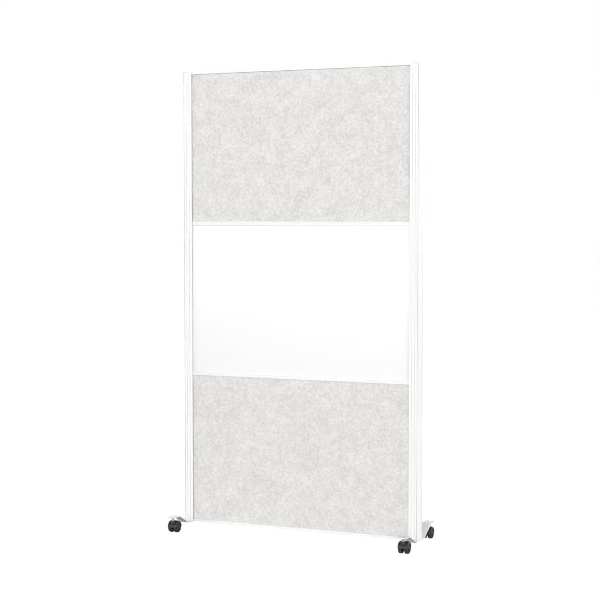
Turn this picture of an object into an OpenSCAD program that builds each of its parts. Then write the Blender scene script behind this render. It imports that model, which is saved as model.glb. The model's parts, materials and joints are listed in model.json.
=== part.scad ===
// Mobile partition wall.
// Three panel elements are stacked between two slotted posts. Each post stands on a bent steel
// foot that carries two twin-wheel castors. The outer elements are felt pin boards and the middle
// one is an enamelled writing board, on both faces.
// Frame: X runs along the wall, Y through it with the front face towards -Y, and Z up.
// The origin lies on the floor under the middle of the wall.

/* [Wall] */
// Overall width over the rounded outer sides of the posts
wall_w = 1000; // [700:10:1400]
// Height of one panel element
element_h = 600; // [400:10:750]
// Height of the lowest element above the floor
ground_gap = 25; // [22:0.5:35]

/* [Posts] */
// How far the outer side of a post bulges
post_bulge = 8; // [6:0.5:10]
// Thickness of the front and back walls of a post
post_lip_t = 3.7; // [3:0.1:6]
// Thickness of the wall that the elements are bolted to
post_web_t = 3; // [2:0.1:5]
// Thickness of the rounded outer wall
post_skin_t = 3; // [2:0.1:4]
// Depth of the closed chamber between the web and the outer wall, without the bulge
post_chamber_w = 11; // [9:0.5:16]
// Width of a decorative groove in the post
groove_w = 2.2; // [1:0.1:3]
// Depth of a decorative groove in the post
groove_d = 2.4; // [0.5:0.1:2.6]
// Thickness of the cap on top of a post
post_cap_t = 3; // [2:0.5:6]

/* [Panel elements] */
// Depth of the frame rails and stiles, front to back
frame_d = 48; // [44:1:64]
// Height of a frame rail
rail_h = 8; // [7:0.5:16]
// Width of a frame stile, hidden in the post
stile_w = 20; // [18:0.5:28]
// Wall thickness of the frame profiles
frame_wall = 2; // [1.5:0.1:2.5]
// Setback of the panel faces behind the rails
panel_recess = 4; // [2:0.5:8]
// Thickness of the felt on a pin board
felt_t = 9; // [4:0.5:15]
// Thickness of the enamelled sheet on the writing board
board_t = 1.2; // [0.8:0.1:3]

/* [Fasteners] */
// Distance of a connector bolt from the end of its element
bolt_inset = 40; // [34:1:80]
// Diameter of the connector bolts and foot screws
bolt_dia = 6; // [5:0.5:6.5]
// Diameter of the access holes in the outer side of a post
access_dia = 16; // [13:0.5:17]
// Diameter of the visible button of a hole cover
cover_button_dia = 13.4; // [10:0.2:16]
// Diameter of the dowels between stacked elements
dowel_dia = 8; // [5:0.5:12]
// Distance between the two dowels of a joint
dowel_spacing = 600; // [300:10:680]

/* [Feet] */
// Width of the foot plate
foot_w = 36; // [32:1:42]
// Thickness of the foot plate
foot_t = 4; // [3:0.5:6]
// Length of the flat under the post
foot_flat_l = 96; // [86:1:120]
// Horizontal length of each sloping web
foot_slope_l = 82; // [60:1:120]
// Height of the castor flanges above the flat
foot_rise = 39; // [34:0.5:60]
// Length of a castor flange
flange_l = 42; // [34:1:60]
// Inner bend radius of the foot plate
bend_r = 4; // [2:0.5:8]
// Corner radius of the flange ends
flange_corner_r = 8; // [2:0.5:15]

/* [Castors] */
// Distance between the front and rear castor stems
castor_spacing = 308; // [300:1:330]
// Wheel diameter
wheel_dia = 44; // [36:1:48]
// Overall width over the two wheels
castor_w = 40; // [36:1:48]
// Thickness of the housing between the wheels
housing_web_t = 9; // [8.5:0.5:12]
// Thickness of the hood over the wheels
hood_t = 2.4; // [1.6:0.1:4]
// Distance of the axle behind the stem
castor_trail = 12; // [9:0.5:18]
// Diameter of the castor stem
stem_dia = 8; // [7:0.5:10]
// Diameter of the swivel pin below the stem
swivel_pin_dia = 6; // [5:0.1:6.2]
// Diameter of the wheel axle
axle_dia = 5; // [3:0.5:8]

/* [Clearances] */
// Gap round the panel faces and in the post channel
panel_gap = 0.5; // [0.3:0.1:1]
// Radial clearance of pins, axles and threads in their holes
pin_gap = 0.05; // [0.02:0.01:0.08]
// Radial clearance of bolts in drilled holes
bolt_gap = 0.3; // [0.2:0.05:0.5]
// Gap between a wheel and its housing
wheel_gap = 0.5; // [0.4:0.05:1]
// Gap between flat faces that turn past each other
thrust_gap = 0.3; // [0.2:0.05:0.5]
// Gap round a moulded plug in its opening
plug_gap = 0.1; // [0.05:0.05:0.3]

/* [Hidden] */
$fn = 96;
EPS = 0.01;

ELEMENTS = ["bottom", "middle", "top"];
SIDES = [["left", -1], ["right", 1]];
CORNERS = [
    ["front_left", -1, -1],
    ["front_right", 1, -1],
    ["rear_left", -1, 1],
    ["rear_right", 1, 1]
];
FIXED_NODES = [
    "stacking_dowels", "castor_stems", "stem_lock_nuts"
];
SIDE_NODES = ["post", "post_cap", "foot", "foot_screws", "connector_bolts", "thread_inserts",
    "hole_covers"];
ELEMENT_NODES = ["upper_rail", "lower_rail", "left_stile", "right_stile", "corner_keys",
    "panel_core"];
FACE_NODES = ["front", "rear"];
CASTOR_NODES = ["housing", "axle", "left_wheel", "right_wheel"];

function face_name(element) = element == "middle" ? "board" : "felt";

// Post
post_face_w = stile_w + post_web_t + post_chamber_w;
post_w = post_face_w + post_bulge;
channel_w = frame_d + 2 * panel_gap;
post_d = channel_w + 2 * post_lip_t;
opening_w = wall_w - 2 * post_w;
wall_h = len(ELEMENTS) * element_h;
wall_top = ground_gap + wall_h;
bulge_r = (post_d * post_d / 4 + post_bulge * post_bulge) / (2 * post_bulge);
bulge_centre = post_w - bulge_r;
boss_r = 6.5;
boss_y = 15;
boss_u = stile_w + post_web_t + boss_r - 1;
groove_pitch = 12;
first_groove_u = 10.5;
edge_groove_w = 2;
edge_groove_d = 2.4;
edge_groove_u = post_face_w - 1.4;
post_edge_r = 0.8;

// Panel elements
panel_face_y = frame_d / 2 - panel_recess;
key_leg = 40;
key_height = 28;
key_w = 20;
key_t = 6;
key_play = 0.2;

// Fasteners
head_dia = bolt_dia + 4;
head_h = 5;
socket_af = 5;
socket_depth = 3;
insert_flange_dia = bolt_dia + 8;
insert_flange_t = 8;
insert_neck_dia = bolt_dia + 3;
bolt_l = post_web_t + insert_flange_t + 4;
cover_base_depth = 4;
cover_step = 1.6;
cap_plug_h = 8;
foot_screw_l = 24;
screw_head_h = 3.5;
screw_socket_af = socket_af - 1;
cover_setback = 0.3;

// Foot
foot_bottom = ground_gap - foot_t;
flange_bottom = foot_bottom + foot_rise;
flange_top = flange_bottom + foot_t;
foot_half_l = foot_flat_l / 2 + foot_slope_l + flange_l;
foot_inset = 1;
foot_centre_x = wall_w / 2 - foot_inset - foot_w / 2;
bend_steps = 6;

// Castor
wheel_r = wheel_dia / 2;
hood_r = wheel_r + wheel_gap + hood_t;
stem_x = foot_centre_x;
stem_y = castor_spacing / 2;
wheel_w = (castor_w - housing_web_t) / 2 - wheel_gap;
hub_wall = 4;
hub_setback = 0.5;
tyre_edge = 2;
rim_w = 4;
dish_d = 2.5;
hood_low = 1;
neck_r = 6.5;
neck_rise = 0.6;
neck_top = wheel_r + hood_r + neck_rise;
collar_r = neck_r - 0.5;
collar_h = 2;
nut_af = 13;
nut_h = 4;
pin_depth = 14;
lower_web_r = wheel_r - 10;

// Helpers

// Places its children on the right-hand side, or mirrored on the left
module on_side(side) {
    if (side > 0) children();
    else mirror([1, 0, 0]) children();
}

// Places its children in the post's own coordinates, measured outwards from its inner edge
module at_post(side) {
    on_side(side) translate([opening_w / 2, 0, 0]) children();
}

// A bar along X with its centre line on the X axis
module bar_x(dia, length) {
    rotate([0, 90, 0]) cylinder(d = dia, h = length);
}

// Heights of the connector bolts, two for each element
function bolt_heights() = [
    for (i = [0:len(ELEMENTS) - 1])
        for (z = [bolt_inset, element_h - bolt_inset])
            ground_gap + i * element_h + z
];

// Posts

module post_outline() {
    intersection() {
        union() {
            translate([post_edge_r, -post_d / 2]) square([post_w, post_d]);
            translate([0, -post_d / 2 + post_edge_r]) square([post_w, post_d - 2 * post_edge_r]);
            for (s = [-1, 1])
                translate([post_edge_r, s * (post_d / 2 - post_edge_r)]) circle(r = post_edge_r);
        }
        union() {
            translate([0, -post_d / 2]) square([post_face_w, post_d]);
            translate([bulge_centre, 0]) circle(r = bulge_r, $fn = 180);
        }
    }
}

// Grooves in the front and back faces, and the shadow line at the outer corners
module post_grooves() {
    for (s = [-1, 1]) {
        for (i = [0:1])
            translate([first_groove_u + i * groove_pitch, s * post_d / 2])
                square([groove_w, 2 * groove_d], center = true);
        translate([edge_groove_u, s * post_d / 2])
            square([edge_groove_w, 2 * edge_groove_d], center = true);
    }
}

module post_chamber() {
    difference() {
        intersection() {
            translate([stile_w + post_web_t, -channel_w / 2])
                square([post_chamber_w + post_bulge, channel_w]);
            translate([bulge_centre, 0]) circle(r = bulge_r - post_skin_t, $fn = 180);
        }
        for (s = [-1, 1])
            translate([boss_u, s * boss_y]) circle(r = boss_r);
    }
}

module post_profile() {
    difference() {
        post_outline();
        post_grooves();
        translate([-EPS, -channel_w / 2]) square([stile_w + EPS, channel_w]);
        post_chamber();
        for (s = [-1, 1])
            translate([boss_u, s * boss_y]) circle(d = bolt_dia + 2 * pin_gap);
    }
}

module post(side) {
    color("white") at_post(side) difference() {
        translate([0, 0, ground_gap]) linear_extrude(wall_h) post_profile();
        for (z = bolt_heights()) {
            translate([stile_w - 1, 0, z]) bar_x(bolt_dia + 2 * bolt_gap, post_web_t + 2);
            translate([post_face_w, 0, z]) bar_x(access_dia, post_bulge + 2);
        }
    }
}

module post_cap(side) {
    plug_u = stile_w + post_web_t + plug_gap;
    plug_w = bulge_centre + sqrt(pow(bulge_r - post_skin_t, 2) - pow(boss_y - boss_r, 2)) - plug_u;
    plug_d = 2 * (boss_y - boss_r - plug_gap);
    color("whitesmoke") at_post(side) {
        translate([0, 0, wall_top]) linear_extrude(post_cap_t) post_outline();
        translate([plug_u, -plug_d / 2, wall_top - cap_plug_h])
            cube([plug_w - plug_gap, plug_d, cap_plug_h]);
    }
}

// Panel elements

module rail(z, holes_up, holes_down) {
    inner_h = rail_h - 2 * frame_wall;
    color("white") difference() {
        translate([-opening_w / 2, -frame_d / 2, z]) cube([opening_w, frame_d, rail_h]);
        translate([-opening_w / 2 - 1, -frame_d / 2 + frame_wall, z + frame_wall])
            cube([opening_w + 2, frame_d - 2 * frame_wall, inner_h]);
        for (s = [-1, 1]) {
            if (holes_up)
                translate([s * dowel_spacing / 2, 0, z + rail_h - frame_wall - 1])
                    cylinder(d = dowel_dia + 2 * pin_gap, h = frame_wall + 2);
            if (holes_down)
                translate([s * dowel_spacing / 2, 0, z - 1])
                    cylinder(d = dowel_dia + 2 * pin_gap, h = frame_wall + 2);
        }
    }
}

module upper_rail(level) {
    rail(ground_gap + (level + 1) * element_h - rail_h, level < len(ELEMENTS) - 1, false);
}

module lower_rail(level) {
    rail(ground_gap + level * element_h, false, level > 0);
}

// A hollow upright in the post's channel, slotted for the corner keys and drilled for the inserts
module stile(level, side) {
    inner_w = stile_w - 2 * frame_wall;
    inner_d = frame_d - 2 * frame_wall;
    color("gainsboro") at_post(side) translate([0, 0, ground_gap + level * element_h]) difference() {
        translate([0, -frame_d / 2, 0]) cube([stile_w, frame_d, element_h]);
        translate([frame_wall, -inner_d / 2, -1]) cube([inner_w, inner_d, element_h + 2]);
        for (z = [frame_wall, element_h - rail_h + frame_wall])
            translate([-1, -key_w / 2 - key_play, z])
                cube([frame_wall + 2, key_w + 2 * key_play, rail_h - 2 * frame_wall]);
        for (z = [bolt_inset, element_h - bolt_inset])
            translate([stile_w - frame_wall - 1, 0, z])
                bar_x(insert_neck_dia + 2 * pin_gap, frame_wall + 2);
    }
}

// An L-shaped key: one leg lies in the rail, the other stands in the stile
module corner_key() {
    leg_h = rail_h - 2 * frame_wall - key_play;
    translate([-key_leg, -key_w / 2, frame_wall])
        cube([key_leg + frame_wall + key_t, key_w, leg_h]);
    translate([frame_wall, -key_w / 2, frame_wall]) cube([key_t, key_w, key_height - frame_wall]);
}

module corner_keys(level) {
    color("silver") for (s = [-1, 1]) {
        at_post(s) translate([0, 0, ground_gap + level * element_h]) corner_key();
        at_post(s) translate([0, 0, ground_gap + (level + 1) * element_h])
            mirror([0, 0, 1]) corner_key();
    }
}

function skin_thickness(level) = ELEMENTS[level] == "middle" ? board_t : felt_t;

module panel_core(level) {
    core_d = 2 * (panel_face_y - skin_thickness(level));
    color("tan")
        translate([-opening_w / 2, -core_d / 2, ground_gap + level * element_h + rail_h])
            cube([opening_w, core_d, element_h - 2 * rail_h]);
}

// A felt or enamelled sheet bonded to the front (-1) or rear (1) of the core
module panel_skin(level, face) {
    t = skin_thickness(level);
    y = face < 0 ? -panel_face_y : panel_face_y - t;
    z = ground_gap + level * element_h + rail_h + panel_gap;
    color(ELEMENTS[level] == "middle" ? "white" : "lightgray")
        translate([-opening_w / 2 + panel_gap, y, z])
            cube([opening_w - 2 * panel_gap, t, element_h - 2 * rail_h - 2 * panel_gap]);
}

// Pins that line up the rails of stacked elements
module stacking_dowels() {
    reach = rail_h - frame_wall;
    color("silver") for (i = [1:len(ELEMENTS) - 1]) for (s = [-1, 1])
        translate([s * dowel_spacing / 2, 0, ground_gap + i * element_h - reach])
            cylinder(d = dowel_dia, h = 2 * reach);
}

// Fasteners

// Socket-head bolts through the post's web into the stiles
module connector_bolts(side) {
    web_u = stile_w + post_web_t;
    color("silver") for (z = bolt_heights()) at_post(side) translate([web_u, 0, z]) difference() {
        union() {
            translate([-bolt_l, 0, 0]) bar_x(bolt_dia, bolt_l);
            bar_x(head_dia, head_h);
        }
        translate([head_h - socket_depth, 0, 0])
            rotate([0, 90, 0]) cylinder(d = socket_af / cos(30), h = socket_depth + 1, $fn = 6);
    }
}

// Flanged nuts pressed into the outer walls of the stiles
module thread_inserts(side) {
    color("gray") for (z = bolt_heights()) at_post(side) translate([stile_w, 0, z]) difference() {
        union() {
            translate([-frame_wall, 0, 0]) bar_x(insert_neck_dia, frame_wall);
            translate([-frame_wall - insert_flange_t, 0, 0])
                bar_x(insert_flange_dia, insert_flange_t);
        }
        translate([-bolt_l, 0, 0]) bar_x(bolt_dia + 2 * pin_gap, bolt_l + 1);
    }
}

// Push-in covers with a raised button, flush with the crest of the outer side
module hole_covers(side) {
    base_dia = access_dia - 2 * plug_gap;
    base_end = post_w - cover_step;
    color("whitesmoke") for (z = bolt_heights()) at_post(side) translate([0, 0, z]) {
        translate([base_end - cover_base_depth, 0, 0]) bar_x(base_dia, cover_base_depth);
        translate([base_end - EPS, 0, 0]) bar_x(cover_button_dia, cover_step - cover_setback);
    }
}

// Pan-head screws from under the foot plate into the post's bosses
module foot_screws(side) {
    color("silver") for (s = [-1, 1])
        at_post(side) translate([boss_u, s * boss_y, foot_bottom]) difference() {
            union() {
                translate([0, 0, -screw_head_h]) cylinder(d = head_dia, h = screw_head_h);
                cylinder(d = bolt_dia, h = foot_screw_l);
            }
            translate([0, 0, -screw_head_h - 1])
                cylinder(d = screw_socket_af / cos(30), h = socket_depth, $fn = 6);
        }
}

// Feet

function arc(cy, cz, r, from, to) = [
    for (i = [0:bend_steps])
        let (a = from + (to - from) * i / bend_steps)
            [cy + r * cos(a), cz + r * sin(a)]
];

// Side outline of the bent plate in Y and Z, from the middle out to the end of one flange
function half_foot() =
    let (
        angle = atan2(foot_rise, foot_slope_l),
        mid_r = bend_r + foot_t / 2,
        outer_r = bend_r + foot_t,
        tangent = mid_r * tan(angle / 2),
        low_y = foot_flat_l / 2 - tangent,
        low_z = foot_bottom + foot_t / 2 + mid_r,
        high_y = foot_flat_l / 2 + foot_slope_l + tangent,
        high_z = flange_bottom + foot_t / 2 - mid_r
    )
    concat(
        arc(low_y, low_z, bend_r, -90, -90 + angle),
        arc(high_y, high_z, outer_r, 90 + angle, 90),
        [[foot_half_l, flange_top], [foot_half_l, flange_bottom]],
        arc(high_y, high_z, bend_r, 90, 90 + angle),
        arc(low_y, low_z, outer_r, -90 + angle, -90)
    );

function mirrored(points) = [
    for (i = [len(points) - 1:-1:0]) [-points[i][0], points[i][1]]
];

module foot_plan() {
    straight_l = 2 * (foot_half_l - flange_corner_r);
    square([foot_w, straight_l], center = true);
    square([foot_w - 2 * flange_corner_r, 2 * foot_half_l], center = true);
    for (x = [-1, 1]) for (y = [-1, 1])
        translate([x * (foot_w / 2 - flange_corner_r), y * straight_l / 2])
            circle(r = flange_corner_r);
}

module foot(side) {
    color("white") on_side(side) difference() {
        intersection() {
            translate([foot_centre_x - foot_w / 2, 0, 0])
                rotate([90, 0, 90])
                    linear_extrude(foot_w) polygon(concat(half_foot(), mirrored(half_foot())));
            translate([foot_centre_x, 0, 0]) linear_extrude(flange_top + 1) foot_plan();
        }
        for (s = [-1, 1]) {
            translate([stem_x, s * stem_y, flange_bottom - 1])
                cylinder(d = stem_dia + 2 * pin_gap, h = foot_t + 2);
            translate([opening_w / 2 + boss_u, s * boss_y, foot_bottom - 1])
                cylinder(d = bolt_dia + 2 * bolt_gap, h = foot_t + 2);
        }
    }
}

// Castors

// Places its children at a castor: the stem axis on Z, trailing towards the wall along +Y
module at_castor(corner) {
    translate([corner[1] * stem_x, corner[2] * stem_y, 0])
        if (corner[2] < 0) children();
        else mirror([0, 1, 0]) children();
}

// Places its children at the axle, with the floor at z = -wheel_r
module at_axle(corner) {
    at_castor(corner) translate([0, castor_trail, wheel_r]) children();
}

// Studs screwed into the flanges, each with a collar and a swivel pin below it
module castor_stems() {
    color("silver") for (c = CORNERS) at_castor(c) {
        translate([0, 0, neck_top - pin_depth + thrust_gap])
            cylinder(d = swivel_pin_dia, h = pin_depth + EPS);
        translate([0, 0, neck_top + thrust_gap]) cylinder(r = collar_r, h = collar_h);
        translate([0, 0, neck_top + thrust_gap + collar_h - EPS])
            cylinder(d = stem_dia, h = flange_top - neck_top - thrust_gap - collar_h + EPS);
    }
}

module stem_lock_nuts() {
    color("silver") for (c = CORNERS) at_castor(c)
        translate([0, 0, flange_bottom - nut_h]) difference() {
            cylinder(d = nut_af / cos(30), h = nut_h, $fn = 6);
            translate([0, 0, -1]) cylinder(d = stem_dia + 2 * pin_gap, h = nut_h + 2);
        }
}

// The hood over the wheels, the web between them and the neck round the swivel pin
module castor_housing(corner) {
    color("dimgray") at_axle(corner) difference() {
        union() {
            difference() {
                union() {
                    translate([-castor_w / 2, 0, 0]) bar_x(2 * hood_r, castor_w);
                    translate([0, -castor_trail, 0]) cylinder(r = neck_r, h = neck_top - wheel_r);
                }
                translate([-castor_w, 0, 0]) bar_x(2 * (wheel_r + wheel_gap), 2 * castor_w);
                translate([-castor_w, -2 * hood_r, -2 * hood_r])
                    cube([2 * castor_w, 4 * hood_r, 2 * hood_r + hood_low]);
            }
            intersection() {
                translate([-housing_web_t / 2, 0, 0]) bar_x(2 * hood_r, housing_web_t);
                union() {
                    translate([-castor_w, -hood_r, hood_low])
                        cube([2 * castor_w, 2 * hood_r, hood_r]);
                    translate([-castor_w, 0, 0]) bar_x(2 * lower_web_r, 2 * castor_w);
                }
            }
        }
        translate([-castor_w, 0, 0]) bar_x(axle_dia + 2 * pin_gap, 2 * castor_w);
        translate([0, -castor_trail, neck_top - wheel_r - pin_depth])
            cylinder(d = swivel_pin_dia + 2 * pin_gap, h = pin_depth + 1);
    }
}

module castor_axle(corner) {
    half_l = castor_w / 2 - hub_wall - thrust_gap;
    color("silver") at_axle(corner) translate([-half_l, 0, 0]) bar_x(axle_dia, 2 * half_l);
}

// A wheel with a blind hub, turned from its half section: the inner face is at x = 0
module wheel() {
    bore_r = axle_dia / 2 + pin_gap;
    hub_r = wheel_r / 3;
    rotate([0, 90, 0]) rotate_extrude() polygon([
        [bore_r, 0],
        [wheel_r - tyre_edge, 0],
        [wheel_r, tyre_edge],
        [wheel_r, wheel_w - tyre_edge],
        [wheel_r - tyre_edge, wheel_w],
        [wheel_r - rim_w, wheel_w],
        [wheel_r - rim_w - 1, wheel_w - dish_d],
        [hub_r + 2, wheel_w - dish_d],
        [hub_r, wheel_w - hub_setback],
        [0, wheel_w - hub_setback],
        [0, wheel_w - hub_wall],
        [bore_r, wheel_w - hub_wall]
    ]);
}

module castor_wheel(corner, side) {
    color("darkslategray") at_axle(corner) on_side(side)
        translate([housing_web_t / 2 + wheel_gap, 0, 0]) wheel();
}

stacking_dowels();
castor_stems();
stem_lock_nuts();
for (s = SIDES) {
    post(s[1]);
    post_cap(s[1]);
    foot(s[1]);
    foot_screws(s[1]);
    connector_bolts(s[1]);
    thread_inserts(s[1]);
    hole_covers(s[1]);
}
for (i = [0:len(ELEMENTS) - 1]) {
    e = ELEMENTS[i];
    upper_rail(i);
    lower_rail(i);
    stile(i, -1);
    stile(i, 1);
    corner_keys(i);
    panel_core(i);
    panel_skin(i, -1);
    panel_skin(i, 1);
}
for (c = CORNERS) {
    castor_housing(c);
    castor_axle(c);
    castor_wheel(c, -1);
    castor_wheel(c, 1);
}
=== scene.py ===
import json
import math

import bmesh
import bpy
from mathutils import Matrix, Vector, noise


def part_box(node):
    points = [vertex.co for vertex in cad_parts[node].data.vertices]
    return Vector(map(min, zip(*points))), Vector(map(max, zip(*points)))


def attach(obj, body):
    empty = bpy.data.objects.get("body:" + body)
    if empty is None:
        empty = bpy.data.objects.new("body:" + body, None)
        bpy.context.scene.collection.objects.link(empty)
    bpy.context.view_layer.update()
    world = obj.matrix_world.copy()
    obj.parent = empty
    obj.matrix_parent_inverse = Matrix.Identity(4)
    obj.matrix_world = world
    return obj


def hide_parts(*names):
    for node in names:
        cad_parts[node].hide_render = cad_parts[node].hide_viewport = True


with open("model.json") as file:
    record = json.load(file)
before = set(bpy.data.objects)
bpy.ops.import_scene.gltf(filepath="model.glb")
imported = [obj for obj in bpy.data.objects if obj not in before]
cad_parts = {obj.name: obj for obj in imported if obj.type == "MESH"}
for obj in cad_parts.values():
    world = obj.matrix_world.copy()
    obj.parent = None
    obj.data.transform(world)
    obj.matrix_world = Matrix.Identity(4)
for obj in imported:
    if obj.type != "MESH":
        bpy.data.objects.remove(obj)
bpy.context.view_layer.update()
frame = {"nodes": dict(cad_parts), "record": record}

MM = 0.001
scene = bpy.context.scene

MERGE = 1e-6  # points closer together than this become one
NEAR = 0.1 * MM  # how exactly a point has to lie on a face to count as part of it
OVERSHOOT = 1 * MM  # how far a cutter reaches past what it cuts
HEXAGON = 6
ROUND_STEPS = 48

ELEMENTS = ("bottom", "middle", "top")
CASTORS = {
    "front_left": (-1, -1),
    "front_right": (1, -1),
    "rear_left": (-1, 1),
    "rear_right": (1, 1),
}
SIDES = {"left": -1, "right": 1}

# Post profile
POST_FACE_W = 34 * MM
GROOVE_CENTRES = (10.5 * MM, 22.5 * MM)
GROOVE_W = 2.2 * MM
GROOVE_D = 3 * MM
CORNER_GROOVE_X = 32.6 * MM
CORNER_GROOVE_W = 2.2 * MM
CORNER_GROOVE_D = 5 * MM
CHANNEL_D = 20 * MM
PANEL_GAP = 0.1 * MM
INNER_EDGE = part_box("post_right")[0][0]
POST_EDGE_R = 0.3 * MM
CAP_EDGE_R = 0.6 * MM

# Bolt holes in the posts, and their covers
BOLT_INSET = 40 * MM
ACCESS_R = 8 * MM
ACCESS_DEPTH = 7 * MM
HOLE_MARGIN = 1.5 * ACCESS_R
RIM_EDGE_R = 0.35 * MM
RIM_ERROR = 0.05 * MM
COVER_R = 7.9 * MM
BUTTON_R = 6.7 * MM
BUTTON_RING_D = 4 * MM

# Panels
RAIL_EDGE_R = 1.3 * MM
SHEET_EDGE_R = 0.4 * MM
SNUG = Vector((0.45, 0, 0.45)) * MM  # closes the assembly gap round a face
FELT_GRID = 6 * MM
FELT_EDGE_R = 1 * MM
FELT_RELIEF = 0.35 * MM
SWELL_SCALE = 22
RIPPLE_SCALE = 61

# Foot plate
PLATE_T = 4 * MM
BEND_R = 4 * MM
FLAT_HALF_L = 48 * MM
SLOPE_L = 82 * MM
FLANGE_CORNER_R = 8 * MM
PLATE_EDGE_R = 0.7 * MM
STUD_HOLE_R = 4.4 * MM

# Foot screws
SCREW_R = 3 * MM
SCREW_HEAD_R = 5 * MM
SCREW_SOCKET_R = 2.3 * MM
SCREW_SOCKET_D = 2.5 * MM

# Castor studs and their nuts
STEM_Y = 154 * MM
STUD_R = 4 * MM
PIN_R = 3 * MM
COLLAR_R = 6 * MM
COLLAR_H = 2 * MM
COLLAR_EDGE = 0.4 * MM
COLLAR_GAP = 0.3 * MM
THREAD_START = 2.6 * MM
THREAD_END = 1.4 * MM
THREAD_PITCH = 1 * MM
THREAD_D = 0.55 * MM
NUT_R = 7.5 * MM
NUT_BORE_R = 4.05 * MM
NUT_CHAMFER = 0.9 * MM

# Castor hoods
HOOD_T = 2.4 * MM
HOOD_LOW = 1 * MM
HOOD_SHOULDER = 6 * MM
WEB_HALF_T = 4.5 * MM
WEB_LOW_R = 12 * MM
WEB_EDGE_R = 0.5 * MM
NECK_R = 6.5 * MM
NECK_ROOT_R = NECK_R + 1.6 * MM
NECK_ROOT_Z = 4 * MM
WHEEL_ROOM = 0.1 * MM

# Castor wheels
SPOKES = 5
SPOKE_T = 1.8 * MM
SPOKE_H = 8 * MM
DISH_D = 1.6 * MM
POCKET_D = 3.4 * MM

# Studio
CAMERA_AT = Vector((2.1964, -5.2298, 1.2405))
CAMERA_AIM = Vector((0, 0, 0.9273))
LENS_MM = 87.29
SENSOR_MM = 36
MIDDLE = Vector((0, 0, 0.9))
HORIZON_LIGHT = 4.45
HORIZON_ANGLE = 10
ZENITH_LIGHT = 0.15
ZENITH_ANGLE = 32
REAR_LIGHT = 0.9
FLOOR_HALF = 80
FLOOR_GREY = (0.55, 0.55, 0.55, 1)
FLOOR_SEEN_GREY = (0.25, 0.25, 0.25, 1)
FLOOR_GLOW = 0.86


# ---------------------------------------------------------------- shapes

def face_angle(edge):
    """The angle between an edge's two faces, or 0 where it has only one."""
    return edge.calc_face_angle(0) if len(edge.link_faces) == 2 else 0


def sharp_edges(bm, limit=30):
    return [e for e in bm.edges if face_angle(e) > math.radians(limit)]


def open_edges(bm):
    return [e for e in bm.edges if len(e.link_faces) == 1]


def verts_of(geometry):
    return [g for g in geometry if isinstance(g, bmesh.types.BMVert)]


def bevel(bm, edges, offset, segments=3):
    bmesh.ops.bevel(
        bm, geom=edges, offset=offset, segments=segments, profile=0.5, affect="EDGES",
        material=-1, clamp_overlap=True,
    )


def close_up(bm):
    bmesh.ops.remove_doubles(bm, verts=bm.verts, dist=MERGE)
    bmesh.ops.recalc_face_normals(bm, faces=bm.faces)


def to_object(name, bm, smooth_limit=35):
    """Makes an object of bm, smooth except at its sharp edges."""
    close_up(bm)
    for f in bm.faces:
        f.smooth = True
    for e in bm.edges:
        e.smooth = face_angle(e) < math.radians(smooth_limit)
    mesh = bpy.data.meshes.new(name)
    bm.to_mesh(mesh)
    bm.free()
    obj = bpy.data.objects.new(name, mesh)
    scene.collection.objects.link(obj)
    return obj


def combine(bm, other, operation):
    """Joins two closed shapes, or cuts the second out of the first, as one new bmesh."""
    whole, tool = to_object("whole", bm), to_object("tool", other)
    mod = whole.modifiers.new("combine", "BOOLEAN")
    mod.object = tool
    mod.operation = operation
    mod.solver = "EXACT"
    depsgraph = bpy.context.evaluated_depsgraph_get()
    mesh = bpy.data.meshes.new_from_object(whole.evaluated_get(depsgraph))
    bpy.data.objects.remove(tool)
    bpy.data.objects.remove(whole)
    result = bmesh.new()
    result.from_mesh(mesh)
    bpy.data.meshes.remove(mesh)
    bmesh.ops.remove_doubles(result, verts=result.verts, dist=MERGE)
    return result


def mirror_x(bm):
    bmesh.ops.scale(bm, vec=(-1, 1, 1), verts=bm.verts)


def turn_to_x(bm, verts):
    """Turns a shape made round Z so that its Z axis becomes +X."""
    bmesh.ops.rotate(bm, verts=verts, cent=(0, 0, 0), matrix=Matrix.Rotation(math.pi / 2, 3, "Y"))


def bevelled_box(name, node, offset, segments=3, grow=Vector()):
    """A box with rounded edges in a CAD node's place, with its corners moved out by grow."""
    lo, hi = corners(node)
    lo, hi = lo - grow, hi + grow
    bm = bmesh.new()
    bmesh.ops.create_cube(bm, size=1)
    bmesh.ops.scale(bm, vec=hi - lo, verts=bm.verts)
    bmesh.ops.translate(bm, vec=(lo + hi) / 2, verts=bm.verts)
    bevel(bm, list(bm.edges), offset, segments)
    return to_object(name, bm)


def corners(node):
    lo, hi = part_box(node)
    return Vector(lo), Vector(hi)


def copies_at(bm, places):
    """Moves a shape to the first of the places and puts copies of it at the others."""
    whole = list(bm.verts) + list(bm.edges) + list(bm.faces)
    for place in places[1:]:
        made = bmesh.ops.duplicate(bm, geom=whole)["geom"]
        bmesh.ops.translate(bm, vec=place, verts=verts_of(made))
    bmesh.ops.translate(bm, vec=places[0], verts=verts_of(whole))
    return bm


def cylinder(radius, z0, z1, steps=ROUND_STEPS):
    bm = bmesh.new()
    bmesh.ops.create_cone(
        bm, cap_ends=True, segments=steps, radius1=radius, radius2=radius, depth=z1 - z0
    )
    bmesh.ops.translate(bm, vec=(0, 0, (z0 + z1) / 2), verts=bm.verts)
    return bm


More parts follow.
